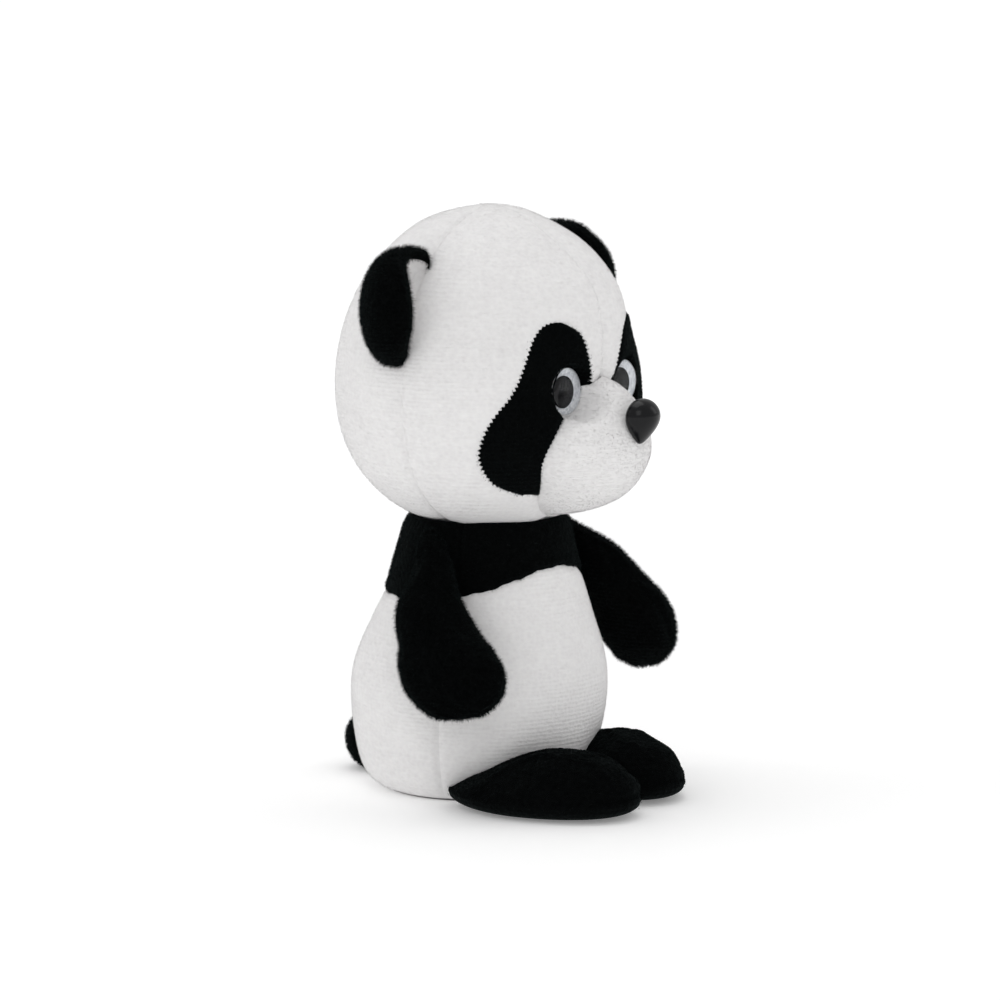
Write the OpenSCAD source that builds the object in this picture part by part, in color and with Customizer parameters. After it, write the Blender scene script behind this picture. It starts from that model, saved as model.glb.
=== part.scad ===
/* [Head] */
// Greatest radius of the stuffed head
head_r = 51.8; // [46:0.2:56]
// Height of the head's widest level above the floor
head_wide_z = 139; // [134:0.5:144]
// Height of the top of the head, and so of the whole toy
head_top_z = 200; // [190:1:212]
// Distance of the head's upright axis in front of the body's centre
head_forward = 5.5; // [4:0.5:7]
// Half width of the sewn-on muzzle
muzzle_half_w = 26; // [22:0.5:28]
// Radius of an ear
ear_r = 20; // [16:0.5:22]

/* [Face parts] */
// Diameter of the glitter disc behind each eye
eye_disc_d = 16.4; // [14:0.2:18]
// Diameter of the black pupil
pupil_d = 11; // [8:0.5:12]
// Distance from the face's middle to each eye's centre
eye_x = 16.5; // [15:0.5:18]
// Height of the eyes above the floor
eye_z = 140.4; // [136:0.2:144]
// Width of the moulded nose
nose_w = 15; // [11:0.5:16]

/* [Body] */
// Greatest radius of the stuffed body
body_r = 43.9; // [40:0.1:45]
// Height of the seam between the white body and the black yoke
yoke_z = 70; // [62:1:78]
// Thickness of the plush fabric with its pile
skin = 1.5; // [1:0.1:2]

/* [Limbs] */
// Length of an arm
arm_len = 72; // [60:1:76]
// Greatest width of an arm
arm_w = 33; // [28:1:36]
// Height of a foot above the floor
foot_h = 21; // [16:1:23]
// Radius of the tail ball
tail_r = 11; // [8:0.5:12]

/* [Hidden] */
$fn = 96;

left = 1;
right = -1;
big = 300;
seam = 0.05;          // air between panels that are sewn edge to edge

// neck
neck_z = 91.5;        // top of the body
neck_r = 25;
head_cut_z = 95;      // underside of the head, where it is sewn on
body_forward = 2;     // how far the body's upright axis stands forward

// eyes and nose
eye_y = -50.4;          // plane on which a glitter disc lies
disc_t = 0.5;
pupil_shift = 2.2;    // both pupils look towards the toy's right
dome_h = 4;
dome_r = (pow(eye_disc_d / 2, 2) + pow(dome_h, 2)) / (2 * dome_h);
shank_r = 2;
shank_len = 9;
washer_r = 6.5;
washer_t = 1.2;
nose_y = -67;
nose_z = 130;
nose_shank = 20;

// muzzle
muzzle_c = [0, -46, 118];
muzzle_depth = 20;
muzzle_half_h = 23;

// right ear
ear_c = [-49, -5, 168];
ear_thick = 9;
ear_turn = 15;        // the ear's front is turned in by this much
ear_gap = 2.3;
ear_edge = 5;         // width of the black rim round the lining
ear_cup_depth = 8;

// right arm: shoulder point, lean from upright, heading and roll of its flat side
shoulder = [-30, -4.5, 90];
arm_lean = 38;
arm_heading = 51.5;
arm_roll = 19.5;
arm_flat = 0.58;      // thickness over width
arm_taper = 0.75;     // how much narrower the shoulder end is

// right foot, which folds up about the chord of its seam with the body
foot_c = [-23.3, -47];
left_foot_shift = [2.2, 5.2];   // the left foot is sewn on a little further in and back
foot_len = 67;
foot_w = 38;
foot_turn = 19;       // toes point inwards by this much
foot_mid_z = 8.5;
foot_lift = 12;
sole_z = 2;           // height of the seam round the sole
foot_hinge = [-20.5, -31, 3];
foot_hinge_turn = 36.7;

// tail
tail_c = [0, 42.5, 11.6];
tail_swing = 10;

// a smooth curve through points p, with n steps between neighbours
function at(p, i, closed) =
    closed ? p[(i + len(p)) % len(p)] : p[max(0, min(len(p) - 1, i))];
function between(a, b, c, d, t) =
    0.5 * (2 * b + (c - a) * t + (2 * a - 5 * b + 4 * c - d) * t * t
    + (3 * b - a - 3 * c + d) * t * t * t);
function curve(p, n, closed = false) = [
    for (i = [0 : len(p) - (closed ? 1 : 2)], k = [0 : n - 1])
        between(at(p, i - 1, closed), at(p, i, closed), at(p, i + 1, closed),
            at(p, i + 2, closed), k / n)
];

module sided(side) {
    if (side == left)
        mirror([1, 0, 0])
            children();
    else
        children();
}

module slab(low, high) {
    translate(low)
        cube(high - low);
}

module in_front_of(y) {
    slab([-big, -big, -big], [big, y, big]);
}

module behind(y) {
    slab([-big, y, -big], [big, big, big]);
}

module above(z) {
    slab([-big, -big, z], [big, big, big]);
}

module below(z) {
    slab([-big, -big, -big], [big, big, z]);
}

module half(side) {
    sided(side)
        slab([-big, -big, -big], [-seam, big, big]);
}

module ellipsoid(r) {
    scale(r)
        sphere(r = 1);
}

// a rod along -Y, from y towards the front
module rod(x, y, z, r, h) {
    translate([x, y, z])
        rotate([90, 0, 0])
            cylinder(r = r, h = h);
}

// radius of the head at height z, grown by d
function head_radius(z, d) =
    z > head_wide_z
    ? (head_r + d) * sqrt(max(0, 1 - pow((z - head_wide_z) / (head_top_z - head_wide_z + d), 2)))
    : (head_r + d) * pow(max(0, 1 - pow((head_wide_z - z) / (49 + d), 2.2)), 1 / 2.2);

// the head as a solid of revolution, grown by d
module head_solid(d = 0) {
    low = head_cut_z - d;
    high = head_top_z + d;
    steps = 28;
    levels = [for (i = [0 : steps - 1]) low + (high - low) * (1 - pow(1 - i / steps, 1.7))];
    side = [for (z = levels) [head_radius(z, d), z]];
    translate([0, -head_forward, 0])
        rotate_extrude()
            polygon(concat([[0, low]], side, [[0, high]]));
}

module head_panel(side) {
    intersection() {
        difference() {
            head_solid();
            head_solid(-skin);
        }
        half(side);
    }
}

module head_back(side) {
    color("whitesmoke")
        intersection() {
            head_panel(side);
            behind(seam - head_forward);
        }
}

module muzzle_solid(d = 0) {
    translate(muzzle_c)
        ellipsoid([muzzle_half_w + d, muzzle_depth + d, muzzle_half_h + d]);
}

// outline of the right patch from the front, a leaning bean round the eye
patch_points = [
    [-21, 163], [-12.5, 155], [-11, 143], [-15, 133], [-23, 120], [-28, 107],
    [-35, 103], [-42, 110], [-43.5, 122], [-37, 133], [-32.5, 146], [-29, 158]
];

module patch_prism(side) {
    sided(side)
        translate([0, -head_forward, 0])
            rotate([90, 0, 0])
                linear_extrude(height = 80)
                    polygon(curve(patch_points, 4, true));
}

// room for an eye's disc in the fabric and for its shank behind it
module eye_hole(side) {
    rod(side * eye_x, eye_y + 0.1, eye_z, eye_disc_d / 2 + 0.15, 20);
    rod(side * eye_x, eye_y + shank_len + 1, eye_z, shank_r + 0.1, 30);
}

module face(side) {
    color("white")
        difference() {
            intersection() {
                head_panel(side);
                in_front_of(-head_forward - seam);
            }
            patch_prism(side);
            muzzle_solid(seam);
            eye_hole(side);
        }
}

module eye_patch(side) {
    color("black")
        difference() {
            intersection() {
                head_panel(side);
                patch_prism(side);
            }
            muzzle_solid(seam);
            eye_hole(side);
        }
}

module muzzle_panel() {
    color("white")
        difference() {
            muzzle_solid();
            muzzle_solid(-skin);
            head_solid(seam - skin);
            below(head_cut_z + 0.5);
            nose_body(seam);
            eye_hole(left);
            eye_hole(right);
        }
}

module head_stuffing() {
    color("ivory")
        difference() {
            union() {
                head_solid(-skin - seam);
                difference() {
                    muzzle_solid(-skin - seam);
                    below(head_cut_z + skin);
                }
            }
            for (side = [right, left]) {
                eye_hole(side);
                rod(side * eye_x, eye_y + shank_len - 1, eye_z, washer_r + 0.2, washer_t + 2);
            }
            nose_body(seam);
            rod(0, nose_y + nose_shank - 1, nose_z, washer_r + 0.2, washer_t + 2);
        }
}

module glitter_disc(side) {
    color("silver")
        difference() {
            rod(side * eye_x, eye_y, eye_z, eye_disc_d / 2, disc_t);
            rod(side * eye_x, eye_y + 1, eye_z, shank_r + seam, 3);
        }
}

// black button on the shank that goes through the disc and the fabric
module pupil(side) {
    color("black")
        union() {
            rod(side * eye_x - pupil_shift, eye_y - disc_t - seam, eye_z, pupil_d / 2, 0.5);
            rod(side * eye_x, eye_y + shank_len, eye_z, shank_r, shank_len + disc_t + 0.2);
        }
}

module eye_dome(side) {
    dome_y = eye_y - disc_t - 0.6;
    color("lightcyan")
        intersection() {
            translate([side * eye_x, dome_y + dome_r - dome_h, eye_z])
                sphere(r = dome_r);
            rod(side * eye_x, dome_y, eye_z, eye_disc_d, dome_h + 1);
        }
}

module washer(x, y, z) {
    difference() {
        rod(x, y, z, washer_r, washer_t);
        rod(x, y + 1, z, shank_r + seam, washer_t + 2);
    }
}

module eye_washer(side) {
    color("gainsboro")
        washer(side * eye_x, eye_y + shank_len - 2, eye_z);
}

module nose_body(d = 0) {
    union() {
        translate([0, nose_y, nose_z])
            ellipsoid([nose_w / 2 + d, 5.2 + d, nose_w / 2 + 0.2 + d]);
        rod(0, nose_y + nose_shank, nose_z, shank_r + d, nose_shank);
    }
}

module nose() {
    color("black")
        nose_body();
}

module nose_washer() {
    color("gainsboro")
        washer(0, nose_y + nose_shank - 2, nose_z);
}

// ears: a puffed disc with a hollow front, cut to the side of the head
module ear_puff(d = 0) {
    translate(ear_c)
        rotate([0, 0, ear_turn])
            ellipsoid([ear_r + d, ear_thick + d, ear_r + 0.3 + d]);
}

module ear_cup(d = 0) {
    translate(ear_c)
        rotate([0, 0, ear_turn])
            translate([0, -ear_thick - 1, 0])
                ellipsoid([ear_r - ear_edge + d, ear_cup_depth + d, ear_r - ear_edge + d]);
}

module ear_back(side) {
    color("black")
        sided(side)
            difference() {
                ear_puff();
                ear_puff(-skin);
                ear_cup(skin + seam);
                head_solid(ear_gap);
            }
}

module ear_lining(side) {
    color("white")
        sided(side)
            difference() {
                intersection() {
                    ear_cup(skin);
                    ear_puff();
                }
                ear_cup();
                head_solid(ear_gap);
            }
}

module ear_stuffing(side) {
    color("ivory")
        sided(side)
            difference() {
                ear_puff(-skin - seam);
                ear_cup(skin + 2 * seam);
                head_solid(ear_gap + 0.5);
            }
}

// the ring of strong thread that pulls the head's opening onto the body
module neck_thread() {
    color("white")
        translate([0, -head_forward, neck_z + 0.6])
            rotate_extrude()
                translate([22, 0])
                    circle(r = 0.45, $fn = 24);
}

// half outline of the body, as radius and height
body_points = [
    [31, 0], [38, 2.5], [41.8, 10], [body_r, 24], [body_r - 0.9, 42], [37, 61],
    [33, 74], [30.2, 84], [28.5, 89], [neck_r, neck_z]
];

// outline points below this height move down as the body grows, and those above neck_z - 4 up
round_z = 8;

module body_solid(d = 0) {
    outline = [
        for (p = curve(body_points, 3))
            [p[0] + d, p[1] + (p[1] < round_z ? -d : p[1] > neck_z - 4 ? d : 0)]
    ];
    rim = [neck_r + d, neck_z + d];
    translate([0, -body_forward, 0])
        rotate_extrude()
            polygon(concat([[0, -d]], outline, [rim, [0, rim[1]]]));
}

// a plainer solid that holds the body and the room a limb needs beside it
body_room_points = [[0, -1], [43.5, -1], [45, 15], [45, 40], [34, 74.5], [30, 93], [0, 93]];

module body_room(d = 0) {
    translate([0, -body_forward, 0])
        rotate_extrude()
            polygon([for (p = body_room_points) [p[0] > 0 ? p[0] + d : 0, p[1]]]);
}

module body_disc(r, z0, z1) {
    translate([0, -body_forward, z0])
        cylinder(r = r, h = z1 - z0);
}

base_r = 36.5;

module body_band(z0, z1) {
    difference() {
        body_solid();
        body_solid(-skin);
        body_disc(base_r + seam, -1, skin + seam);
        below(z0);
        above(z1);
    }
}

module yoke_front() {
    color("black")
        intersection() {
            body_band(yoke_z + seam, neck_z + 1);
            in_front_of(-body_forward - seam);
        }
}

module yoke_back() {
    color("black")
        intersection() {
            body_band(yoke_z + seam, neck_z + 1);
            behind(seam - body_forward);
        }
}

module belly_panel() {
    color("white")
        intersection() {
            body_band(0.4, yoke_z - seam);
            in_front_of(-body_forward - seam);
        }
}

module back_panel(side) {
    color("white")
        intersection() {
            body_band(0.4, yoke_z - seam);
            behind(seam - body_forward);
            half(side);
        }
}

module base_disc() {
    color("white")
        body_disc(base_r, 0, skin);
}

module body_stuffing() {
    color("ivory")
        difference() {
            body_solid(-skin - seam);
            body_disc(30 + seam, 5 - seam, 21 + seam);
        }
}

module pellet_pouch() {
    color("tan")
        body_disc(30, 5, 21);
}

// right arm's own frame: z runs down the arm, x out of its flat side
module arm_frame() {
    translate(shoulder)
        rotate([0, 0, arm_heading])
            rotate([0, arm_lean - 180, 0])
                rotate([0, 0, arm_roll])
                    children();
}

function arm_radius(a) = arm_w / 2 * sin(a) * (1 - arm_taper * cos(a)) / 1.19;

module arm_egg(d = 0) {
    steps = 14;
    outline = [
        for (i = [0 : steps])
            let (a = 180 * i / steps)
            [i % steps == 0 ? 0 : arm_radius(a) + d * sin(a), arm_len / 2 - (arm_len / 2 + d) * cos(a)]
    ];
    arm_frame()
        translate([0, 0, -3])
            scale([arm_flat, 1, 1])
                rotate_extrude()
                    polygon(outline);
}

// what the body leaves free for the arm: a shallow cone about the line the arm swings on,
// as distance from that line and height along it
arm_room_points = [[0, 0.6], [13, 0.4], [24, -2.2], [36, -7.8], [80, -22], [80, -60], [0, -60]];

module arm_clearance(d = 0) {
    arm_frame()
        rotate([0, 90, 0])
            rotate_extrude()
                polygon([for (p = arm_room_points) [p[0], p[1] + d]]);
}

module arm_skin() {
    difference() {
        arm_egg();
        arm_egg(-skin);
        arm_clearance();
    }
}

module arm_outer(side) {
    color("black")
        sided(side)
            intersection() {
                arm_skin();
                arm_frame()
                    slab([seam, -big, -big], [big, big, big]);
            }
}

module arm_inner(side) {
    color("black")
        sided(side)
            intersection() {
                arm_skin();
                arm_frame()
                    slab([-big, -big, -big], [-seam, big, big]);
            }
}

module arm_stuffing(side) {
    color("ivory")
        sided(side)
            difference() {
                arm_egg(-skin - seam);
                arm_clearance(0.5);
            }
}

module foot_pad(side, d = 0) {
    shift = side == left ? left_foot_shift : [0, 0];
    translate([foot_c[0] + shift[0], foot_c[1] + shift[1], foot_mid_z])
        rotate([0, 0, foot_turn])
            ellipsoid([foot_w / 2 + d, foot_len / 2 + d, foot_h - foot_mid_z + d]);
}

// all that the body takes up, seen from the foot, as the foot folds up
module foot_clearance(d = 0) {
    for (turn = [0, foot_lift / 2, foot_lift])
        translate(foot_hinge)
            rotate([0, 0, -foot_hinge_turn])
                rotate([turn, 0, 0])
                    rotate([0, 0, foot_hinge_turn])
                        translate(-foot_hinge)
                            body_room(d);
}

module foot_top(side) {
    color("black")
        sided(side)
            difference() {
                foot_pad(side);
                foot_pad(side, -skin);
                below(sole_z + seam);
                foot_clearance();
            }
}

module foot_sole(side) {
    color("black")
        sided(side)
            difference() {
                foot_pad(side);
                below(0);
                above(sole_z);
                foot_clearance();
            }
}

module foot_stuffing(side) {
    color("ivory")
        sided(side)
            difference() {
                foot_pad(side, -skin - seam);
                below(sole_z + seam);
                foot_clearance(0.5);
            }
}

module tail_ball(d = 0) {
    translate(tail_c)
        sphere(r = tail_r + d);
}

// all that the body takes up, seen from the tail, as the tail wags up and down
module tail_clearance(d = 0) {
    for (turn = [-tail_swing, 0, tail_swing])
        translate(tail_c)
            rotate([turn, 0, 0])
                translate(-tail_c)
                    body_room(d);
}

module tail_skin() {
    color("black")
        difference() {
            tail_ball();
            tail_ball(-skin);
            tail_clearance();
        }
}

module tail_stuffing() {
    color("ivory")
        difference() {
            tail_ball(-skin - seam);
            tail_clearance(0.5);
        }
}

head_back(left);  // head_back_left
head_back(right);  // head_back_right
face(left);  // face_left
face(right);  // face_right
muzzle_panel();
eye_patch(left);  // eye_patch_left
eye_patch(right);  // eye_patch_right
head_stuffing();
glitter_disc(left);  // glitter_disc_left
glitter_disc(right);  // glitter_disc_right
pupil(left);  // pupil_left
pupil(right);  // pupil_right
eye_dome(left);  // eye_dome_left
eye_dome(right);  // eye_dome_right
eye_washer(left);  // eye_washer_left
eye_washer(right);  // eye_washer_right
nose();
nose_washer();
ear_back(left);  // ear_back_left
ear_back(right);  // ear_back_right
ear_lining(left);  // ear_lining_left
ear_lining(right);  // ear_lining_right
ear_stuffing(left);  // ear_stuffing_left
ear_stuffing(right);  // ear_stuffing_right
neck_thread();
yoke_front();
yoke_back();
belly_panel();
back_panel(left);  // back_panel_left
back_panel(right);  // back_panel_right
base_disc();
body_stuffing();
pellet_pouch();
arm_outer(left);  // arm_outer_left
arm_outer(right);  // arm_outer_right
arm_inner(left);  // arm_inner_left
arm_inner(right);  // arm_inner_right
arm_stuffing(left);  // arm_stuffing_left
arm_stuffing(right);  // arm_stuffing_right
foot_top(left);  // foot_top_left
foot_top(right);  // foot_top_right
foot_sole(left);  // foot_sole_left
foot_sole(right);  // foot_sole_right
foot_stuffing(left);  // foot_stuffing_left
foot_stuffing(right);  // foot_stuffing_right
tail_skin();
tail_stuffing();
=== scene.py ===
import math

import bmesh
import bpy
import numpy as np
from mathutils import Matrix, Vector


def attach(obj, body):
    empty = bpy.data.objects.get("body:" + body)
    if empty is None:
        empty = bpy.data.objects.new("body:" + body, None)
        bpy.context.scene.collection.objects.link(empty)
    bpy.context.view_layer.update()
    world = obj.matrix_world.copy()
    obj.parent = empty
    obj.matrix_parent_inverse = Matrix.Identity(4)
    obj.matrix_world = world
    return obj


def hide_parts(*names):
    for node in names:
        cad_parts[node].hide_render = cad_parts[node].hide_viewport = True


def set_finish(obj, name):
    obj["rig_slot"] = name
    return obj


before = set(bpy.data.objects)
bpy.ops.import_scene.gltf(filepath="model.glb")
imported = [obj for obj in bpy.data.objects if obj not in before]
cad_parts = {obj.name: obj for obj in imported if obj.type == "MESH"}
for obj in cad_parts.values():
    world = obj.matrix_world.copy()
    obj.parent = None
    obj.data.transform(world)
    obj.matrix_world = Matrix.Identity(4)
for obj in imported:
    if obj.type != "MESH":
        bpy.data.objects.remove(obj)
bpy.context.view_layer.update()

# ---------------------------------------------------------------------------
# Table and lamps: a pale sweep, big soft lamps and a long lens looking at
# the toy from its front right, a little above the middle of its height.

MM = 0.001
AIM = Vector((5.1, -6.5, 98.5)) * MM
CAMERA_AZIMUTH = math.radians(52)
CAMERA_RISE = math.radians(8.4)
CAMERA_DISTANCE = 1.6
LENS = 168.8
SWEEP_REACH = 6.0
ROOM_LIGHT = 0.58
ROOM_SEEN = 1.1           # a little over white, so that it stays white past the sweep


def stand_camera():
    flat = Vector((-math.sin(CAMERA_AZIMUTH), -math.cos(CAMERA_AZIMUTH), 0))
    away = flat * math.cos(CAMERA_RISE) + Vector((0, 0, math.sin(CAMERA_RISE)))
    data = bpy.data.cameras.new("camera")
    data.lens = LENS
    data.sensor_width = 36
    data.clip_start = 0.05
    camera = bpy.data.objects.new("camera", data)
    camera.location = AIM + away * CAMERA_DISTANCE
    camera.rotation_euler = away.to_track_quat("Z", "Y").to_euler()
    bpy.context.collection.objects.link(camera)
    bpy.context.scene.camera = camera


def soft_lamp(name, place, size, power):
    data = bpy.data.lights.new(name, "AREA")
    data.shape = "RECTANGLE"
    data.size = size[0]
    data.size_y = size[1]
    data.energy = power
    lamp = bpy.data.objects.new(name, data)
    lamp.location = place
    lamp.rotation_euler = (lamp.location - AIM).to_track_quat("Z", "Y").to_euler()
    bpy.context.collection.objects.link(lamp)


def new_material(name):
    made = bpy.data.materials.new(name)
    made.use_nodes = True
    return made, made.node_tree.nodes, made.node_tree.links


def pale_sweep():
    """White paper that glows a little more further out, where the lamps fall off."""
    mesh = bpy.data.meshes.new("sweep")
    far = SWEEP_REACH
    corners = [(-far, -far, 0), (far, -far, 0), (far, far, 0), (-far, far, 0)]
    mesh.from_pydata(corners, [], [(0, 1, 2, 3)])
    floor = bpy.data.objects.new("sweep", mesh)
    bpy.context.collection.objects.link(floor)
    paper, nodes, links = new_material("white_paper")
    white = nodes["Principled BSDF"]
    white.inputs["Base Color"].default_value = (0.96, 0.96, 0.96, 1)
    white.inputs["Roughness"].default_value = 0.8
    white.inputs["Emission Color"].default_value = (1, 1, 1, 1)
    here = nodes.new("ShaderNodeTexCoord")
    distance = nodes.new("ShaderNodeVectorMath")
    distance.operation = "LENGTH"
    glow = nodes.new("ShaderNodeMapRange")
    glow.inputs["From Min"].default_value = 0.2
    glow.inputs["From Max"].default_value = 2.0
    glow.inputs["To Min"].default_value = 0.19
    glow.inputs["To Max"].default_value = 0.5
    links.new(here.outputs["Object"], distance.inputs[0])
    links.new(distance.outputs["Value"], glow.inputs["Value"])
    links.new(glow.outputs["Result"], white.inputs["Emission Strength"])
    floor.data.materials.append(paper)


def white_room():
    """White where the camera sees past the toy, a little dimmer as light and as reflection."""
    room = bpy.data.worlds.new("white_room")
    room.use_nodes = True
    nodes, links = room.node_tree.nodes, room.node_tree.links
    light = nodes["Background"]
    light.inputs["Strength"].default_value = ROOM_LIGHT
    seen = nodes.new("ShaderNodeBackground")
    seen.inputs["Color"].default_value = (1, 1, 1, 1)
    seen.inputs["Strength"].default_value = ROOM_SEEN
    light.inputs["Color"].default_value = (1, 1, 1, 1)
    path = nodes.new("ShaderNodeLightPath")
    either = nodes.new("ShaderNodeMixShader")
    links.new(path.outputs["Is Camera Ray"], either.inputs["Fac"])
    links.new(light.outputs["Background"], either.inputs[1])
    links.new(seen.outputs["Background"], either.inputs[2])
    links.new(either.outputs["Shader"], nodes["World Output"].inputs["Surface"])
    bpy.context.scene.world = room


stand_camera()
pale_sweep()
soft_lamp("key_lamp", (-1.3, -1.1, 1.3), (0.9, 1.2), 4.2)
soft_lamp("side_lamp", (1.6, -1.2, 1.0), (0.7, 1.2), 2.6)
soft_lamp("rear_lamp", (-1.2, 1.6, 1.2), (1.2, 1.2), 4.0)
soft_lamp("top_lamp", (0.1, 0.3, 1.9), (1.4, 1.4), 9.5)
white_room()
bpy.context.scene.view_settings.view_transform = "Standard"

# ---------------------------------------------------------------------------
# Head: four panels of white knitted plush, sewn along the sides, down the
# forehead and down the back, and stuffed so tight that it keeps an egg's shape.

HEAD_R = 51.8
HEAD_WIDE_Z = 139.0
HEAD_TOP_Z = 200.0
HEAD_LOW_Z = 93.2
HEAD_Y = -5.5
SIDE_SEAM = 87.0          # degrees round from the front
FOREHEAD_Z = 174.0
EYE_LINE_Z = 143.0
CHEEK_DROP = 49.0         # from the widest place down to where the head rounds in under itself
CHEEK_ROUND = 2.2
TEMPLE = (42.0, 162.0)    # degrees round and height of the slight hollow beside each patch


def smooth_list(points, count):
    """A smooth curve through a few points, in any number of columns."""
    points = np.array(points, float)
    steps = np.linspace(0, len(points) - 1, count)
    i = np.clip(steps.astype(int), 0, len(points) - 2)
    t = (steps - i)[:, None]
    a, b, c, d = (points[np.clip(i + k, 0, len(points) - 1)] for k in (-1, 0, 1, 2))
    return 0.5 * (2 * b + (c - a) * t + (2 * a - 5 * b + 4 * c - d) * t ** 2
                  + (3 * b - a - 3 * c + d) * t ** 3)


def wobble(x, y, z, size, seed):
    """Slow uneven swelling of a stuffed surface, between about -1 and 1."""
    rng = np.random.default_rng(seed)
    total = np.zeros(np.broadcast(x, y, z).shape)
    for _ in range(7):
        way = rng.normal(size=3)
        way = way / np.linalg.norm(way) * (2 * math.pi / size) * rng.uniform(0.6, 1.5)
        total = total + np.sin(way[0] * x + way[1] * y + way[2] * z + rng.uniform(0, 6.28))
    return total / 3.5


def head_radius(round_deg, z):
    """Distance of the head's skin from its upright axis, in millimetres."""
    upper = np.sqrt(np.clip(1 - ((z - HEAD_WIDE_Z) / (HEAD_TOP_Z - HEAD_WIDE_Z)) ** 2, 0, 1))
    drop = np.clip(HEAD_WIDE_Z - z, 0, CHEEK_DROP) / CHEEK_DROP
    lower = np.clip(1 - drop ** CHEEK_ROUND, 0, 1) ** (1 / CHEEK_ROUND)
    radius = HEAD_R * np.where(z > HEAD_WIDE_Z, upper, lower)
    front = np.clip(np.cos(np.radians(round_deg)), 0, 1) ** 4
    temple = -3.6 * np.exp(-((z - TEMPLE[1]) / 10) ** 2)
    temple = temple * np.exp(-((abs(round_deg) - TEMPLE[0]) / 16) ** 2)
    bulge = 3.0 * np.exp(-((z - FOREHEAD_Z) / 14) ** 2) - 2.8 * np.exp(-((z - EYE_LINE_Z) / 12) ** 2)
    return radius + (front * bulge + temple) * np.clip(radius / 20, 0, 1)


def head_point(round_deg, z, lift=0.0):
    """Points on the head, lifted off it by a distance; 0 degrees is the front, minus is its right."""
    radius = head_radius(round_deg, z) + lift
    turn = np.radians(round_deg)
    return np.stack([radius * np.sin(turn), HEAD_Y - radius * np.cos(turn), z + 0 * turn], -1)


EYE_PLACE = (15.5, -50.3, 141.2)
FACE_FRONT_Y = -20.0      # the face proper lies in front of this
SOCKET_R = 9.8
SOCKET_WALL = 1.5
SOCKET_NARROW = 1.22      # outwards of the eye, where the fabric laps over the edge of the disc


def eye_socket(points, depth, reach=SOCKET_R):
    """Presses the fabric flat behind each eye, where its washer draws the face in."""
    outward = abs(points[:, 0]) - EYE_PLACE[0]
    outward = outward * np.where(outward > 0, SOCKET_NARROW, 1)
    near = np.hypot(outward, points[:, 2] - EYE_PLACE[2])
    flat = np.clip((reach - near) / SOCKET_WALL, 0, 1)
    flat = flat * flat * (3 - 2 * flat) * (points[:, 1] < FACE_FRONT_Y)
    pressed = np.maximum(points[:, 1], EYE_PLACE[1] + depth)
    points[:, 1] += (pressed - points[:, 1]) * flat
    return points


def groove(distance, depth, half_width):
    return -depth * np.exp(-(distance / half_width) ** 2)


def grid_faces(rows, columns, closed=False):
    last = columns if closed else columns - 1
    r, c = np.meshgrid(np.arange(rows - 1), np.arange(last), indexing="ij")
    after = (c + 1) % columns
    quads = np.stack([r * columns + c, r * columns + after, (r + 1) * columns + after,
                      (r + 1) * columns + c], -1)
    return quads.reshape(-1, 4)


def mesh_object(name, points, faces, body, slot, material):
    """A mesh from points in millimetres, riding on a body and taking a record finish."""
    used = np.unique(faces)
    number = np.zeros(len(points), int)
    number[used] = np.arange(len(used))
    mesh = bpy.data.meshes.new(name)
    mesh.from_pydata((np.asarray(points)[used] * MM).tolist(), [], number[faces].tolist())
    mesh.validate()
    for face in mesh.polygons:
        face.use_smooth = True
    mesh.materials.append(material)
    made = bpy.data.objects.new(name, mesh)
    bpy.context.collection.objects.link(made)
    if body:
        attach(made, body)
    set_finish(made, slot)
    return made


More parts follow.
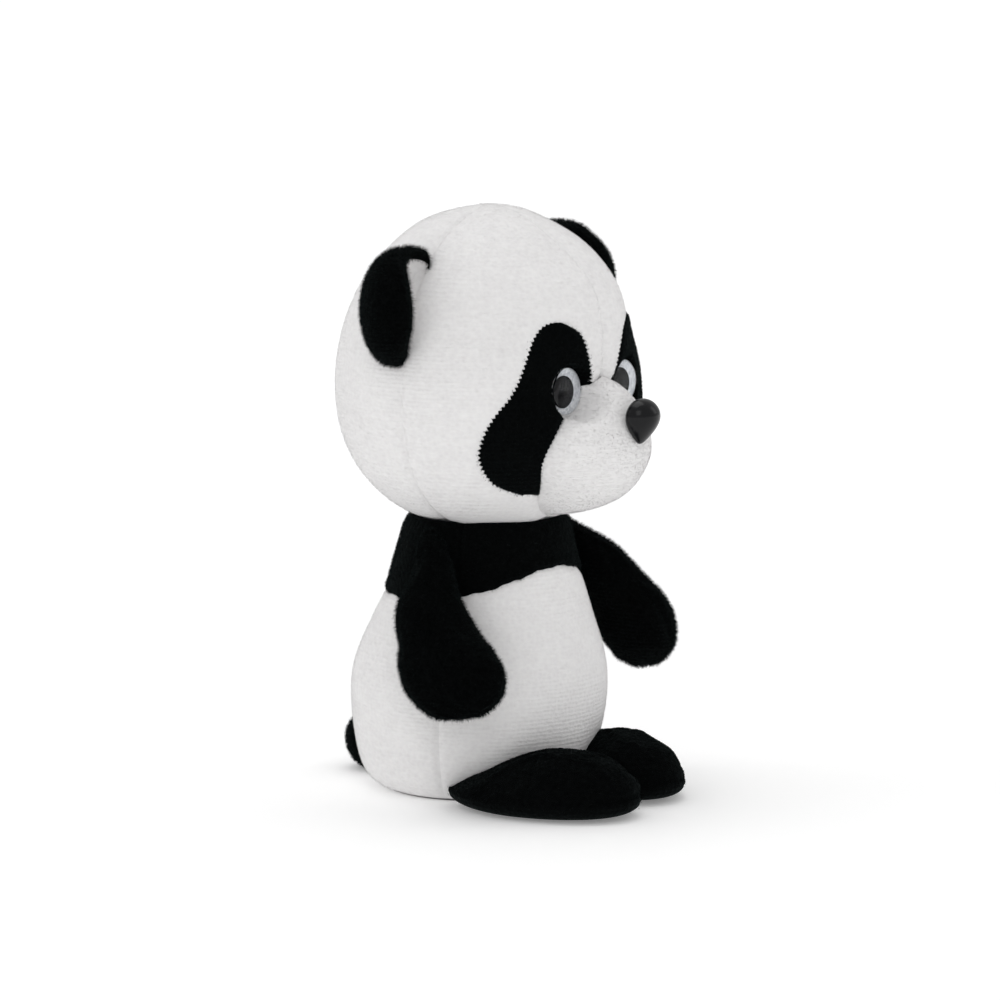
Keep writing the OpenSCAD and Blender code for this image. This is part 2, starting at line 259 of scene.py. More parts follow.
def plush(name, colour, shade, row_pitch, row_depth, pile_depth, sheen, sheen_colour):
    """Short knitted pile: rows of stitches, soft clumps, and a halo of fibre ends at the edges."""
    made, nodes, links = new_material(name)
    cloth = nodes["Principled BSDF"]
    cloth.inputs["Roughness"].default_value = 0.95
    cloth.inputs["Specular IOR Level"].default_value = 0.03
    cloth.inputs["Sheen Weight"].default_value = sheen
    cloth.inputs["Sheen Roughness"].default_value = 0.45
    cloth.inputs["Sheen Tint"].default_value = (*sheen_colour, 1)
    place = nodes.new("ShaderNodeTexCoord")
    patchy = nodes.new("ShaderNodeTexNoise")
    patchy.inputs["Scale"].default_value = 90
    patchy.inputs["Detail"].default_value = 3
    fine = nodes.new("ShaderNodeTexNoise")
    fine.inputs["Scale"].default_value = 900
    fine.inputs["Detail"].default_value = 2
    clumps = nodes.new("ShaderNodeTexVoronoi")
    clumps.inputs["Scale"].default_value = 620
    rows = nodes.new("ShaderNodeTexWave")
    rows.bands_direction = "Z"
    rows.inputs["Scale"].default_value = 0.314 / (row_pitch * MM)
    rows.inputs["Distortion"].default_value = 2.2
    rows.inputs["Detail"].default_value = 2
    rows.inputs["Detail Scale"].default_value = 3
    for texture in (patchy, fine, clumps, rows):
        links.new(place.outputs["Object"], texture.inputs["Vector"])
    # the colour goes toward the darker shade at random in soft patches, and also in the dimples that the
    # clumps' bump presses in: painted shade in the pile's hollows
    tint = nodes.new("ShaderNodeMix")
    tint.data_type = "RGBA"
    tint.inputs["A"].default_value = (*shade, 1)
    tint.inputs["B"].default_value = (*colour, 1)
    blend = nodes.new("ShaderNodeMath")
    blend.operation = "MULTIPLY_ADD"
    blend.inputs[1].default_value = 0.75
    links.new(patchy.outputs["Fac"], blend.inputs[0])
    depth = nodes.new("ShaderNodeMath")
    depth.operation = "MULTIPLY"
    depth.inputs[1].default_value = 0.75
    links.new(clumps.outputs["Distance"], depth.inputs[0])
    links.new(depth.outputs[0], blend.inputs[2])
    links.new(blend.outputs[0], tint.inputs["Factor"])
    links.new(tint.outputs["Result"], cloth.inputs["Base Color"])
    surface = None
    for texture, out, height in ((rows, "Fac", row_depth), (clumps, "Distance", pile_depth),
                                 (fine, "Fac", pile_depth * 0.8)):
        bump = nodes.new("ShaderNodeBump")
        bump.inputs["Strength"].default_value = 1.0
        bump.inputs["Distance"].default_value = height * MM
        links.new(texture.outputs[out], bump.inputs["Height"])
        if surface:
            links.new(surface.outputs["Normal"], bump.inputs["Normal"])
        surface = bump
    links.new(surface.outputs["Normal"], cloth.inputs["Normal"])
    return made


white_plush = plush("white_plush", colour=(0.89, 0.882, 0.878), shade=(0.80, 0.785, 0.79),
                    row_pitch=1.4, row_depth=0.07, pile_depth=0.12,
                    sheen=0.25, sheen_colour=(1.0, 0.98, 0.98))


def grow_pile(skin, per_mm2, length, seed, comb=(0, 0, -0.5), thick=0.075, stray=0.35):
    """Short tapered fibres standing out of a piece's own faces, leaning the way the pile was brushed."""
    mesh = skin.data
    count = len(mesh.polygons)
    area, centre, normal = np.zeros(count), np.zeros(3 * count), np.zeros(3 * count)
    mesh.polygons.foreach_get("area", area)
    mesh.polygons.foreach_get("center", centre)
    mesh.polygons.foreach_get("normal", normal)
    centre, normal = centre.reshape(-1, 3) / MM, normal.reshape(-1, 3)
    area = area / MM ** 2
    rng = np.random.default_rng(seed)
    fibres = int(area.sum() * per_mm2)
    at = rng.choice(count, fibres, p=area / area.sum())
    up = normal[at]
    loose = rng.normal(size=(fibres, 3))
    loose -= up * (loose * up).sum(1)[:, None]
    root = centre[at] + loose * np.sqrt(area[at])[:, None] * 0.5 - up * 0.15
    lean = rng.normal(size=(fibres, 3)) * 0.33 + np.array(comb)
    way = up + lean - up * (lean * up).sum(1)[:, None]
    way /= np.linalg.norm(way, axis=1)[:, None]
    side = np.cross(way, loose)
    side /= np.linalg.norm(side, axis=1)[:, None] + 1e-9
    across = np.cross(way, side)
    tall = (length * rng.uniform(0.55, 1.15, fibres))[:, None]
    corners = [root + thick * (side * math.cos(a) + across * math.sin(a)) for a in (0, 2.1, 4.2)]
    points = np.stack(corners + [root + way * tall], 1).reshape(-1, 3)
    points[:, 2] = np.maximum(points[:, 2], 0.05)
    first = np.arange(fibres)[:, None] * 4
    faces = np.concatenate([first + np.array([[0, 1, 3]]), first + [[1, 2, 3]], first + [[2, 0, 3]]])
    pile = bpy.data.meshes.new(skin.name + "_pile")
    pile.vertices.add(len(points))
    pile.vertices.foreach_set("co", (points * MM).astype(np.float32).ravel())
    pile.loops.add(faces.size)
    pile.loops.foreach_set("vertex_index", faces.astype(np.int32).ravel())
    pile.polygons.add(len(faces))
    pile.polygons.foreach_set("loop_start", np.arange(0, faces.size, 3, dtype=np.int32))
    pile.update()
    soft = np.repeat(up + stray * way + 0.7 * stray * loose, 4, axis=0)
    soft /= np.linalg.norm(soft, axis=1)[:, None]
    pile.normals_split_custom_set_from_vertices(soft.tolist())
    pile.materials.append(mesh.materials[0])
    made = bpy.data.objects.new(skin.name + "_pile", pile)
    bpy.context.collection.objects.link(made)
    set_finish(made, skin["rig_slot"])
    return made


def white_pile(skin, body, seed):
    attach(grow_pile(skin, 3.0, 0.6, seed, thick=0.055, stray=0.1), body)


# half of the muzzle's seam, from the bridge down to the chin, as x and z
MUZZLE_EDGE = [(0, 145), (9.5, 141.2), (14.2, 137.3), (18.6, 132.3), (23, 125.5), (24.2, 117),
               (20, 108.5), (14.2, 102), (7, 98), (0, 96.8)]
MUZZLE_CENTRE_Z = 119.5


def muzzle_rim(count):
    """Seam of the muzzle, all the way round, as x and z."""
    half = smooth_list(MUZZLE_EDGE, count // 2 + 1)
    other = half[-2:0:-1] * (-1, 1)
    return np.concatenate([half, other])


def distance_to(points, line):
    best = np.full(len(points), 1e9)
    for spot in line:
        best = np.minimum(best, np.linalg.norm(points - spot, axis=1))
    return best


def head_skin(rows=150, columns=300):
    level = np.linspace(0, 1, rows)
    z = HEAD_LOW_Z + (HEAD_TOP_Z - 0.0002 - HEAD_LOW_Z) * (0.5 - 0.5 * np.cos(math.pi * level ** 0.9))
    turn = np.linspace(-180, 180, columns, endpoint=False)
    z, turn = np.meshgrid(z, turn, indexing="ij")
    radius = head_radius(turn, z)
    reach = np.radians(np.minimum(abs(abs(turn) - SIDE_SEAM), 60)) * radius
    middle = np.radians(np.minimum(np.minimum(abs(turn), abs(abs(turn) - 180)), 60)) * radius
    fade = np.clip(radius / 15, 0.2, 1)
    lift = groove(reach, 0.9, 0.9) + groove(reach, 0.7, 4.5)
    lift = lift + groove(middle, 0.7, 0.8) + groove(middle, 0.5, 4)
    points = head_point(turn, z)
    flat = points.reshape(-1, 3)
    front = flat[:, 1] < FACE_FRONT_Y
    rim = muzzle_rim(160)
    near = np.full(len(flat), 99.0)
    near[front] = distance_to(flat[front][:, (0, 2)], rim)
    lift = (lift * fade).reshape(-1) + groove(near, 1.0, 1.6)
    lift = lift + 0.35 * wobble(flat[:, 0], flat[:, 1], flat[:, 2], 32, 3)
    out = flat - np.array([0, HEAD_Y, 0])
    out[:, 2] = (flat[:, 2] - HEAD_WIDE_Z) * 0.8
    out /= np.linalg.norm(out, axis=1)[:, None]
    flat = eye_socket(flat + out * lift[:, None], 2.4, 10.2)
    return flat, grid_faces(rows, columns, True), columns


skin_points, skin_faces, skin_columns = head_skin()
middle_of_face = skin_points[skin_faces].mean(1)
column_turn = -180 + (skin_faces[:, 0] % skin_columns + 0.5) * 360 / skin_columns
oval = (middle_of_face[:, 0] / 20) ** 2 + ((middle_of_face[:, 2] - MUZZLE_CENTRE_Z) / 17) ** 2
under_muzzle = (middle_of_face[:, 1] < FACE_FRONT_Y) & (oval < 1)
for side, sign in (("right", -1), ("left", 1)):
    this_side = column_turn * sign > 0
    is_front = abs(column_turn) < SIDE_SEAM
    for part, chosen in (("face", is_front & ~under_muzzle), ("head_back", ~is_front)):
        panel = mesh_object(f"{part}_{side}_plush", skin_points, skin_faces[this_side & chosen],
                            "head", "white_plush", white_plush)
        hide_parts(f"{part}_{side}")
        if part == "face" and side == "right":
            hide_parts("head_stuffing")
        white_pile(panel, "head", 11)

# ---------------------------------------------------------------------------
# Muzzle: one more white panel, gathered into a rounded snout and sewn into the
# face; its seam pulls a crease all round it.

MUZZLE_FRONT_Y = -67.6


def muzzle_point(share, rim_x, rim_z):
    """share 0 is the middle of the muzzle and 1 its seam."""
    turn = np.degrees(np.arcsin(np.clip(rim_x / head_radius(0, rim_z), -1, 1)))
    radius = head_radius(turn, rim_z)
    rim_y = HEAD_Y - np.sqrt(np.clip(radius ** 2 - rim_x ** 2, 0, None)) + 1.2
    x = rim_x * share
    z = MUZZLE_CENTRE_Z + (rim_z - MUZZLE_CENTRE_Z) * share
    y = rim_y + (MUZZLE_FRONT_Y - rim_y) * (1 - share ** 2.3) ** 0.6
    return np.stack([x, y, z], -1)


def muzzle_skin(rings=44, around=160):
    rim = muzzle_rim(around)
    share = np.sin(np.linspace(0.004, 1, rings) * math.pi / 2)
    share, rim_x = np.meshgrid(share, rim[:, 0], indexing="ij")
    rim_z = np.broadcast_to(rim[:, 1], share.shape)
    points = muzzle_point(share, rim_x, rim_z).reshape(-1, 3)
    points[:, 1] -= 0.3 * wobble(points[:, 0], points[:, 1], points[:, 2], 20, 8)
    # the nose's washer draws the shank in, and the fabric swells up round its back
    points[:, 1] -= 2.4 * np.exp(-(points[:, 0] / 8) ** 2 - ((points[:, 2] - 134) / 8) ** 2)
    return eye_socket(points, 0.6), grid_faces(rings, len(rim), True)


muzzle_points, muzzle_faces = muzzle_skin()
muzzle = mesh_object("muzzle_plush", muzzle_points, muzzle_faces[:, ::-1],
                     "head", "white_plush", white_plush)
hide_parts("muzzle_panel")
white_pile(muzzle, "head", 12)

# ---------------------------------------------------------------------------
# Eye patches: leaning beans cut from black plush and sewn flat on the face;
# the pile of their cut edges sticks out in little teeth.

# inner and outer edge as height and degrees round from the front
PATCH_INNER = [(164.6, 22), (161, 14.5), (156, 11.2), (149, 8.6), (142.5, 7.6), (138.5, 12),
               (133.5, 21.5), (126, 26.3), (118, 29.6), (111, 28.6), (106.0, 27.5)]
PATCH_OUTER = [(164.6, 24), (163, 30), (159, 34.2), (152, 37.6), (145, 41), (139.5, 44.7),
               (134, 49.8), (127, 53.8), (119, 55.2), (111, 49.5), (106.0, 35)]
MM_A_DEGREE = 0.9         # along the face
TOOTH = 1.5
TOOTH_PITCH = 1.6

black_plush = plush("black_plush", colour=(0.0022, 0.0026, 0.0027), shade=(0.0006, 0.0008, 0.0008),
                    row_pitch=1.5, row_depth=0.06, pile_depth=0.3,
                    sheen=0.06, sheen_colour=(0.3, 0.42, 0.42))


def black_pile(skin, body, seed, length=1.25):
    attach(grow_pile(skin, 6.0, length, seed), body)


def patch_skin(sign, rows=220, across=28):
    """A strip between the two edges, its teeth square to them and its rim tucked into the face."""
    inner = smooth_list(PATCH_INNER, rows)
    outer = smooth_list(PATCH_OUTER, rows)
    share = np.linspace(0, 1, across)[None, :]
    z = inner[:, :1] * (1 - share) + outer[:, :1] * share
    turn = inner[:, 1:] * (1 - share) + outer[:, 1:] * share
    run = np.cumsum(np.hypot(np.gradient(outer[:, 0]), np.gradient(outer[:, 1]) * MM_A_DEGREE))
    tooth = TOOTH * (abs((run / TOOTH_PITCH) % 1 - 0.5) * 2)[:, None]
    near_outer = np.clip((share - 0.82) / 0.18, 0, 1)
    near_inner = np.clip((0.18 - share) / 0.18, 0, 1)
    for line, outward, weight in ((outer, 1, near_outer), (inner, -1, near_inner)):
        along = np.gradient(line[:, 1]) * MM_A_DEGREE
        down = -np.gradient(line[:, 0])
        slope = np.hypot(along, down)
        steep = np.clip(down / slope, 0, 1)[:, None] ** 2
        turn = turn + outward * tooth * weight * steep * 1.1
        if outward > 0:
            z = z + tooth * weight * (along / slope)[:, None] * 0.9
    rim = np.minimum(share, 1 - share) * (outer[:, 1:] - inner[:, 1:]) * 0.85
    ends = np.minimum(abs(inner[:, :1] - inner[0, 0]), abs(inner[:, :1] - inner[-1, 0]))
    lift = -0.9 + 1.9 * (1 - np.exp(-np.minimum(rim, ends * 1.5) / 0.8))
    points = eye_socket(head_point(sign * turn, z, lift).reshape(-1, 3), 1.1)
    return points, grid_faces(rows, across)


for side, sign in (("right", -1), ("left", 1)):
    points, faces = patch_skin(sign)
    patch = mesh_object(f"eye_patch_{side}_plush", points, faces if sign < 0 else faces[:, ::-1],
                        "head", "black_plush", black_plush)
    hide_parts(f"eye_patch_{side}")
    black_pile(patch, "head", 21, length=0.8)

# ---------------------------------------------------------------------------
# Eyes: a disc of silver glitter film, a black button and a clear moulded dome
# on one shank, which is pushed through the patch and locked by a washer.

EYE_R = 7.75
EYE_DOME = 0.9
PUPIL_R = 5.4
PUPIL_SHIFT = -2.2        # the buttons sit towards the toy's right in both eyes
ROUND_STEPS = 72


def eye_points(sign, across, up, out):
    """From the eye's own plane to the head: across to the toy's left, up, and out of the face."""
    return np.stack([sign * EYE_PLACE[0] + across, EYE_PLACE[1] - out, EYE_PLACE[2] + up], -1)


def turned_piece(sign, profile, shift, around=ROUND_STEPS):
    """A round moulded piece from its half section, as radius and height out of the face."""
    profile = np.array(profile, float)
    a = np.linspace(0, 2 * math.pi, around, endpoint=False)[None, :]
    radius = profile[:, :1]
    points = eye_points(sign, radius * np.cos(a) + shift, radius * np.sin(a), profile[:, 1:] + 0 * a)
    return points.reshape(-1, 3), grid_faces(len(profile), around, True)


def glitter():
    made, nodes, links = new_material("glitter_film")
    film = nodes["Principled BSDF"]
    film.inputs["Metallic"].default_value = 0.4
    film.inputs["Roughness"].default_value = 0.32
    place = nodes.new("ShaderNodeTexCoord")
    flakes = nodes.new("ShaderNodeTexVoronoi")
    flakes.inputs["Scale"].default_value = 1500
    ramp = nodes.new("ShaderNodeValToRGB")
    ramp.color_ramp.elements[0].color = (0.55, 0.56, 0.59, 1)
    ramp.color_ramp.elements[1].color = (1, 1, 1, 1)
    tilt = nodes.new("ShaderNodeBump")
    tilt.inputs["Strength"].default_value = 0.5
    tilt.inputs["Distance"].default_value = 0.25 * MM
    links.new(place.outputs["Object"], flakes.inputs["Vector"])
    links.new(flakes.outputs["Color"], ramp.inputs["Fac"])
    links.new(ramp.outputs["Color"], film.inputs["Base Color"])
    links.new(flakes.outputs["Color"], tilt.inputs["Height"])
    links.new(tilt.outputs["Normal"], film.inputs["Normal"])
    return made


def gloss(name, colour, roughness):
    made, nodes, links = new_material(name)
    plastic = nodes["Principled BSDF"]
    plastic.inputs["Base Color"].default_value = (*colour, 1)
    plastic.inputs["Specular IOR Level"].default_value = 0.22
    haze = nodes.new("ShaderNodeTexNoise")
    haze.inputs["Scale"].default_value = 120
    spread = nodes.new("ShaderNodeMapRange")
    spread.inputs["To Min"].default_value = roughness * 0.7
    spread.inputs["To Max"].default_value = roughness * 1.3
    links.new(haze.outputs["Fac"], spread.inputs["Value"])
    links.new(spread.outputs["Result"], plastic.inputs["Roughness"])
    return made


def clear_plastic():
    made, nodes, _ = new_material("clear_plastic")
    lens = nodes["Principled BSDF"]
    lens.inputs["Base Color"].default_value = (0.97, 0.985, 1, 1)
    lens.inputs["Roughness"].default_value = 0.02
    lens.inputs["IOR"].default_value = 1.06
    lens.inputs["Coat Weight"].default_value = 0.12
    lens.inputs["Transmission Weight"].default_value = 1.0
    return made


glitter_film = glitter()
black_plastic = gloss("black_plastic", (0.005, 0.005, 0.006), 0.2)
clear_dome = clear_plastic()
dome_angles = np.linspace(0, math.pi / 2, 16)
for side, sign in (("right", -1), ("left", 1)):
    film = [(EYE_R, -0.6), (EYE_R, 0), (EYE_R - 0.3, 0.1), (0.01, 0.1)]
    points, faces = turned_piece(sign, film, 0)
    disc = mesh_object(f"glitter_{side}", points, faces[:, ::-1], "head", "glitter", glitter_film)
    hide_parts(f"glitter_disc_{side}")
    button = [(PUPIL_R, 0.1), (PUPIL_R, 0.6), (PUPIL_R - 0.3, 0.9), (PUPIL_R - 1.5, 1.12),
              (0.01, 1.25)]
    points, faces = turned_piece(sign, button, PUPIL_SHIFT)
    pupil = mesh_object(f"pupil_{side}_button", points, faces[:, ::-1],
                        "head", "black_plastic", black_plastic)
    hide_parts(f"pupil_{side}")
    dome = [(EYE_R + 0.1, 0.12), (EYE_R + 0.05, 0.4)]
    dome += [(EYE_R * math.cos(a), 0.5 + EYE_DOME * math.sin(a)) for a in dome_angles[1:-1]]
    dome += [(0.01, 0.5 + EYE_DOME)]
    points, faces = turned_piece(sign, dome, 0)
    points = np.concatenate([points, eye_points(sign, np.zeros(1), np.zeros(1), np.full(1, 0.12))])
    cap = [[i, (i + 1) % ROUND_STEPS, len(points) - 1] for i in range(ROUND_STEPS)]
    mesh = bpy.data.meshes.new(f"eye_dome_{side}_lens")
    mesh.from_pydata((points * MM).tolist(), [], faces[:, ::-1].tolist() + cap)
    shell = bmesh.new()
    shell.from_mesh(mesh)
    bmesh.ops.recalc_face_normals(shell, faces=shell.faces)
    shell.to_mesh(mesh)
    shell.free()
    for face in mesh.polygons:
        face.use_smooth = True
    mesh.materials.append(clear_dome)
    lens = bpy.data.objects.new(f"eye_dome_{side}_lens", mesh)
    bpy.context.collection.objects.link(lens)
    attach(lens, "head")
    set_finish(lens, "clear_plastic")
    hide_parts(f"eye_dome_{side}")

# ---------------------------------------------------------------------------
# Nose: a moulded black button, broad and round above and pointed below, on a
# shank through the muzzle.

NOSE_PLACE = (0.0, -69.8, 131.2)
NOSE_HALF = (7.6, 6.6, 7.6)
NOSE_TUCK = 0.25          # how far the point leans back into the muzzle


def nose_skin(rings=40, around=72):
    up = np.linspace(-math.pi / 2, math.pi / 2, rings)[:, None]
    a = np.linspace(0, 2 * math.pi, around, endpoint=False)[None, :]
    height = np.sin(up)
    narrow = 0.42 + 0.58 * np.sin(math.pi / 2 * np.clip((height + 1) / 1.55, 0, 1))
    x = NOSE_HALF[0] * np.cos(up) ** 0.85 * narrow * np.sin(a)
    y = -NOSE_HALF[1] * np.cos(up) ** 0.9 * narrow * np.cos(a) * np.where(np.cos(a) > 0, 1, 0.55)
    z = NOSE_HALF[2] * height + 0 * a
    y = y + NOSE_TUCK * (1 - height)
    points = np.stack([x, y, z], -1) + np.array(NOSE_PLACE)
    return points.reshape(-1, 3), grid_faces(rings, around, True)


points, faces = nose_skin()
nose = mesh_object("nose_button", points, faces, "head", "black_plastic", black_plastic)
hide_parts("nose")

# ---------------------------------------------------------------------------
# Ears: a fat black back curled forwards round a white lining, caught in the
# side seam of the head.

EAR_PLACE = np.array([-43.0, -5.0, 168.3])
LEFT_EAR_SHIFT = np.array([1.6, 1.2, 3.0])     # caught a little higher in its seam
EAR_R = 20.3
EAR_CURL = 14.1           # radius of the forward curl
EAR_BACK = 12.5
EAR_LIP = 3.0
LINING_SHARE = 0.80
EAR_STEPS = 120
CLOTH_SCALE = 10          # cloth settles best at a size of a metre, so a limb is settled ten times as big
SETTLE_FRAMES = 20


def settled(points, faces, held, swell=1.5, reach=0.9):
    """Fabric settled as cloth over its stuffing; held points stay, none moves further than reach."""
    mesh = bpy.data.meshes.new("settling")
    mesh.from_pydata((points * MM * CLOTH_SCALE).tolist(), [], faces.tolist())
    limb = bpy.data.objects.new("settling", mesh)
    bpy.context.collection.objects.link(limb)
    pins = limb.vertex_groups.new(name="seams")
    pins.add(np.flatnonzero(held).tolist(), 1.0, "REPLACE")
    cloth = limb.modifiers.new("cloth", "CLOTH")
    cloth.settings.vertex_group_mass = "seams"
    cloth.settings.quality = 4
    cloth.settings.use_pressure = True
    cloth.settings.uniform_pressure_force = swell
    cloth.settings.shrink_min = -0.03
    cloth.settings.tension_stiffness = 25
    cloth.settings.compression_stiffness = 25
    cloth.settings.bending_stiffness = 0.4
    cloth.settings.effector_weights.gravity = 0
    cloth.collision_settings.use_collision = False
    cloth.point_cache.frame_start = 1
    cloth.point_cache.frame_end = SETTLE_FRAMES
    for step in range(SETTLE_FRAMES):
        bpy.context.scene.frame_set(step + 1)
    now = limb.evaluated_get(bpy.context.evaluated_depsgraph_get()).data
    moved = np.zeros(3 * len(points))
    now.vertices.foreach_get("co", moved)
    shift = moved.reshape(-1, 3) / (MM * CLOTH_SCALE) - points
    size = np.linalg.norm(shift, axis=1)[:, None]
    bpy.data.objects.remove(limb)
    bpy.data.meshes.remove(mesh)
    bpy.context.scene.frame_set(1)
    return points + shift * reach * np.tanh(size / reach) / np.maximum(size, 1e-6)


def ear_point(sign, share, a, off):
    """share is the distance from the ear's middle, a the angle round it, off the lift off its back."""
    out = EAR_R * share * np.cos(a)
    up = EAR_R * share * np.sin(a)
    bend = np.clip(out, -8, None) / EAR_CURL
    x = -EAR_CURL * np.sin(bend) - off * np.sin(bend)
    y = -EAR_CURL * (1 - np.cos(bend)) + off * np.cos(bend)
    points = np.stack([x, y, up + 0 * x], -1) + EAR_PLACE
    if sign > 0:
        points = points + LEFT_EAR_SHIFT
    points[..., 0] *= -sign
    return points


def ear_back_skin(sign, rings=46, around=EAR_STEPS):
    path = np.linspace(0.01, 1, rings)
    share = np.where(path < 0.75, path / 0.75, 1 - (path - 0.75) / 0.25 * (1 - LINING_SHARE))
    back = EAR_BACK * np.clip(1 - share ** 2.3, 0, 1) ** 0.55
    lip = -EAR_LIP * np.sin(math.pi * np.clip((1 - share) / (1 - LINING_SHARE), 0, 1) * 0.75)
    off = np.where(path < 0.75, back, lip)
    a = np.linspace(0, 2 * math.pi, around, endpoint=False)[None, :]
    points = ear_point(sign, share[:, None], a, off[:, None] + 0 * a).reshape(-1, 3)
    points += 0.25 * wobble(points[:, 0], points[:, 1], points[:, 2], 14, 5)[:, None]
    return points, grid_faces(rings, around, True)


def ear_lining_skin(sign, rings=26, around=EAR_STEPS):
    share = np.linspace(0.01, 1, rings)
    edge = -EAR_LIP * np.sin(math.pi * 0.75)
    off = edge + 0.4 + 3.5 * (1 - share ** 2.5) ** 0.8
    a = np.linspace(0, 2 * math.pi, around, endpoint=False)[None, :]
    points = ear_point(sign, share[:, None] * (LINING_SHARE + 0.02), a, off[:, None] + 0 * a)
    return points.reshape(-1, 3), grid_faces(rings, around, True)


for side, sign in (("right", -1), ("left", 1)):
    flip = slice(None, None, sign)
    points, faces = ear_back_skin(sign)
    held = np.arange(len(points)) >= len(points) * 0.7
    held[:EAR_STEPS] = True
    points = settled(points, faces[:, flip], held)
    back = mesh_object(f"ear_back_{side}_plush", points, faces[:, flip],
                       f"ear_{side}", "black_plush", black_plush)
    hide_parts(f"ear_back_{side}", f"ear_stuffing_{side}")
    black_pile(back, f"ear_{side}", 31, length=1.8)
    points, faces = ear_lining_skin(sign)
    lining = mesh_object(f"ear_lining_{side}_plush", points, faces[:, ::-1][:, flip],
                         f"ear_{side}", "white_plush", white_plush)
    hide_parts(f"ear_lining_{side}")
    white_pile(lining, f"ear_{side}", 32)

# ---------------------------------------------------------------------------
# Body: a white belly panel and two back panels under a black yoke, sewn to a
# round base; pellets in the base and fibre above give it its pear shape.

# radius and height, from the base up to the neck
BODY_OUTLINE = [(29.0, 0.2), (34.5, 2.2), (39.6, 9), (43.4, 24), (43.2, 42), (37.2, 61), (33, 74),
                (30.0, 84), (28.2, 91), (26.0, 95)]
BODY_SEAM = 70.0          # degrees round from the front
YOKE_SIDE_Z = 68.0
YOKE_FRONT_Z = 79.0
YOKE_TUCK = 1.5           # how much flatter the back is behind the yoke's edge
NECK_SHIFT = -5.0
BODY_TOP_Z = 95.0
BASE_R = 31.0


def yoke_edge(turn):
    """Height of the yoke's lower edge, a little uneven as its pile hides the seam."""
    way = np.radians(turn)
    uneven = 0.22 * np.sin(17 * way) + 0.12 * np.sin(43 * way + 1)
    return YOKE_SIDE_Z + (YOKE_FRONT_Z - YOKE_SIDE_Z) * np.exp(-(turn / 55) ** 2) + uneven


def body_skin(rows=150, columns=300):
    """Rows run up to the yoke's edge and then on to the neck, so the seam follows a row."""
    outline = smooth_list(BODY_OUTLINE, 400)
    turn = np.linspace(-180, 180, columns, endpoint=False)[None, :]
    split = int(rows * 0.68)
    low = np.linspace(0, 1, split)[:, None]
    high = np.linspace(0, 1, rows - split + 1)[1:, None]
    edge = yoke_edge(turn)
    z = np.concatenate([0.2 + (edge - 0.2) * low, edge + (BODY_TOP_Z - edge) * high])
    radius = np.interp(z, outline[:, 1], outline[:, 0])
    seam = np.radians(abs(abs(turn) - BODY_SEAM)) * radius
    back = np.radians(abs(abs(turn) - 180)) * radius
    waist = abs(z - edge)
    lift = groove(seam, 0.7, 0.8) + groove(seam, 0.7, 5)
    lift = lift + groove(back, 0.6, 0.8) + groove(back, 0.5, 4)
    lift = lift + groove(waist, 0.8, 0.9) + groove(waist, 0.4, 4)
    lift = lift + 0.45 * np.exp(-((z - edge - 1.6) / 1.6) ** 2)
    radius = radius + lift * np.clip(z / 6, 0.3, 1)
    behind = np.clip((abs(turn) - 85) / 50, 0, 1)
    radius = radius - YOKE_TUCK * np.exp(-((z - YOKE_SIDE_Z) / 11) ** 2) * behind
    turn_rad = np.radians(turn)
    y_middle = NECK_SHIFT * (z / BODY_TOP_Z) ** 1.2
    x, y = radius * np.sin(turn_rad), y_middle - radius * np.cos(turn_rad)
    points = np.stack([x, y, z + 0 * turn_rad], -1).reshape(-1, 3)
    swell = 0.5 * wobble(points[:, 0], points[:, 1], points[:, 2], 38, 11)
    points[:, :2] *= 1 + (swell / 40)[:, None]
    return points, grid_faces(rows, columns, True), split, columns


body_points, body_faces, split_row, body_columns = body_skin()
row = body_faces[:, 0] // body_columns
turn = -180 + (body_faces[:, 0] % body_columns + 0.5) * 360 / body_columns
front = abs(turn) < BODY_SEAM
white_part = row < split_row - 1
body_panels = [
    ("belly", white_part & front, "white_plush", white_plush, ["belly_panel", "body_stuffing"]),
    ("back_right", white_part & ~front & (turn < 0), "white_plush", white_plush, ["back_panel_right"]),
    ("back_left", white_part & ~front & (turn > 0), "white_plush", white_plush, ["back_panel_left"]),
    ("yoke_front", ~white_part & front, "black_plush", black_plush, ["yoke_front"]),
    ("yoke_back", ~white_part & ~front, "black_plush", black_plush, ["yoke_back"]),
]
for name, chosen, slot, material, nodes_replaced in body_panels:
    panel = mesh_object(f"{name}_plush", body_points, body_faces[chosen], "torso", slot, material)
    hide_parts(*nodes_replaced)
    if slot == "white_plush":
        white_pile(panel, "torso", 41)
    else:
        black_pile(panel, "torso", 42, length=1.15)


def base_skin(rings=20, around=180):
    share = np.linspace(0.01, 1, rings)[:, None]
    a = np.linspace(0, 2 * math.pi, around, endpoint=False)[None, :]
    z = 0.05 + 1.8 * np.clip(share - 0.9, 0, 1)
    radius = BASE_R * share
    points = np.stack([radius * np.sin(a), -radius * np.cos(a), z + 0 * a], -1)
    return points.reshape(-1, 3), grid_faces(rings, around, True)


points, faces = base_skin()
base = mesh_object("base_plush", points, faces[:, ::-1], "torso", "white_plush", white_plush)
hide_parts("base_disc")

# ---------------------------------------------------------------------------
# Arms: two flat black panels each, sewn round the edge, lightly stuffed, and
# sewn on at the shoulder so that they hang out and forwards.

SHOULDER = np.array([-30.0, -4.5, 90.0])
ARM_LEN = 72.0
ARM_FLAT = 0.58
